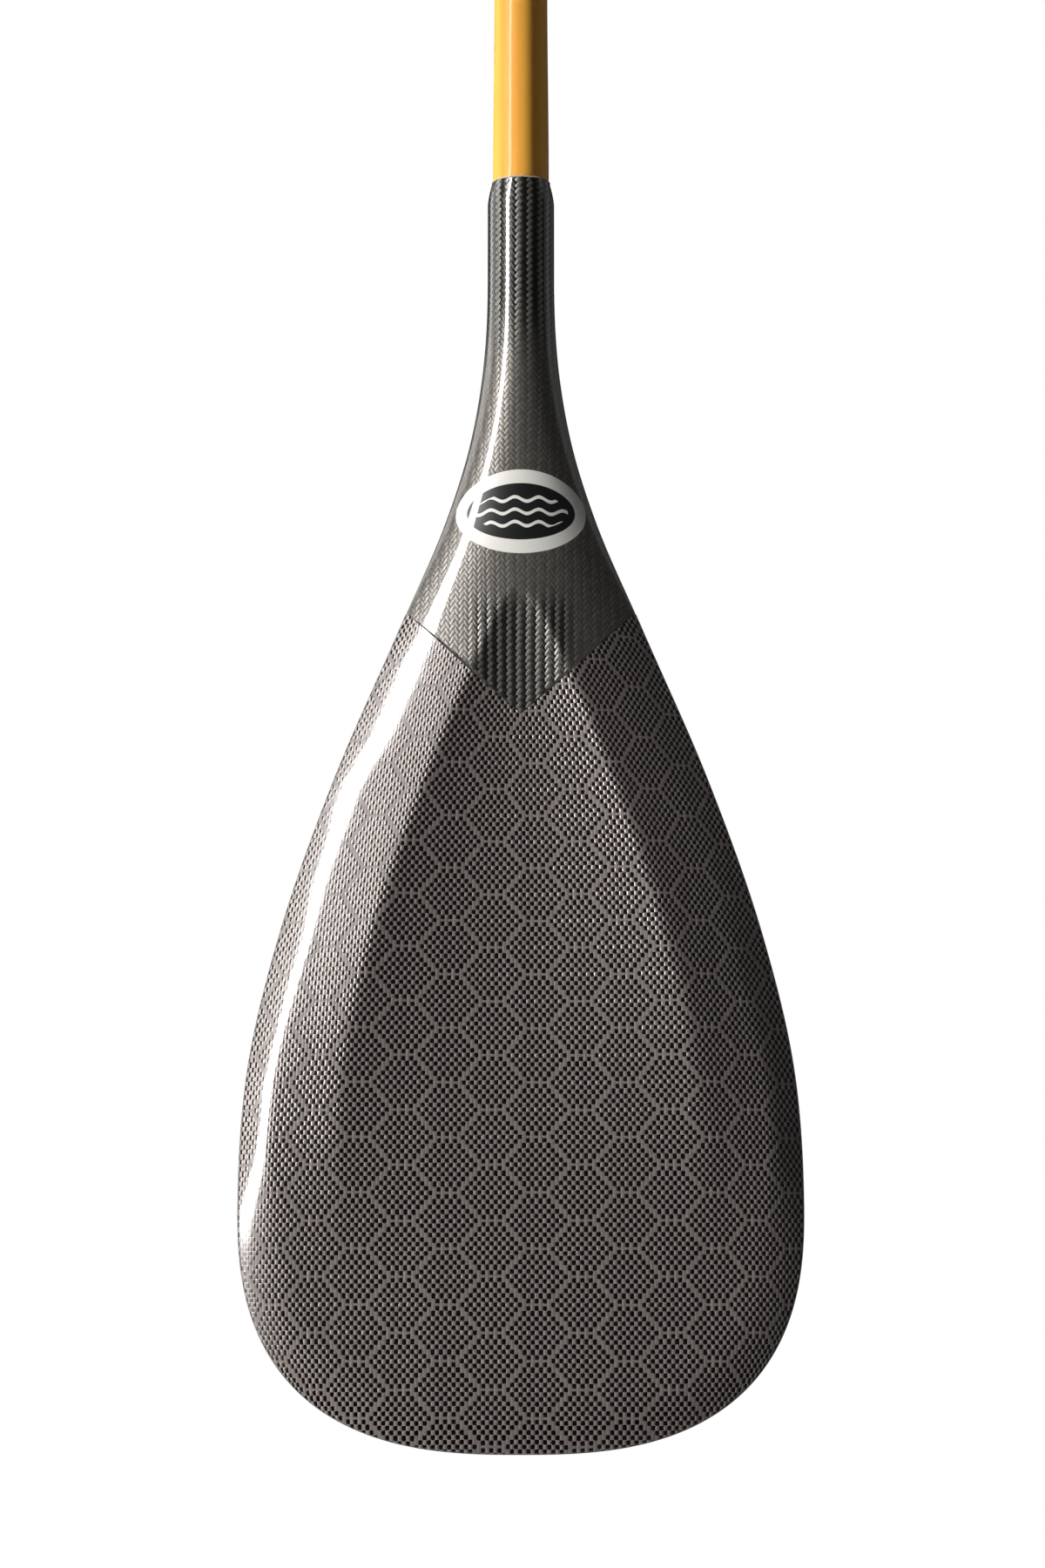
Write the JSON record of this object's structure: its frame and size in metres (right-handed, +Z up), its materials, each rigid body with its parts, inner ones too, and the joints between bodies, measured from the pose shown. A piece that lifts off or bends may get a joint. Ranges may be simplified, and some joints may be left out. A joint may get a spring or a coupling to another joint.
{
  "type": "outrigger canoe paddle",
  "caption": "Outrigger canoe paddle: amber tubular shaft, T grip and a teardrop carbon blade set at an angle, with a scooped back face and a flat power face.",
  "frame": {"origin": "on the shaft's axis where the lower hand holds it, 250 mm above the rim of the blade's neck", "axes": "+Z up the shaft towards the grip, -Y towards the scooped back face of the blade, X across the blade"},
  "size_m": [0.235, 0.096, 1.2693],
  "materials": {
    "amber_gloss": "clear-coated amber resin over a fibre tube",
    "carbon_twill": "2x2 twill carbon laid at 45 degrees under gloss clear coat",
    "carbon_honeycomb": "carbon cloth woven with a hexagon pattern under gloss clear coat",
    "rail_resin": "black filled resin edge, satin",
    "epoxy_glue": "cream thickened epoxy",
    "closed_cell_foam": "fine closed-cell foam"
  },
  "bodies": {
    "root": {"shaft_tube": "amber_gloss", "shaft_lower_plug": "closed_cell_foam", "shaft_upper_plug": "closed_cell_foam", "blade_joint_glue": "epoxy_glue", "grip_joint_glue": "epoxy_glue", "neck_back_shell": "carbon_twill", "neck_power_shell": "carbon_twill", "neck_core": "closed_cell_foam", "blade_back_skin": "carbon_honeycomb", "blade_power_skin": "carbon_honeycomb", "edge_rail": "rail_resin", "blade_core": "closed_cell_foam", "grip_back_shell": "carbon_twill", "grip_power_shell": "carbon_twill", "grip_core": "closed_cell_foam"}
  },
  "joints": []
}
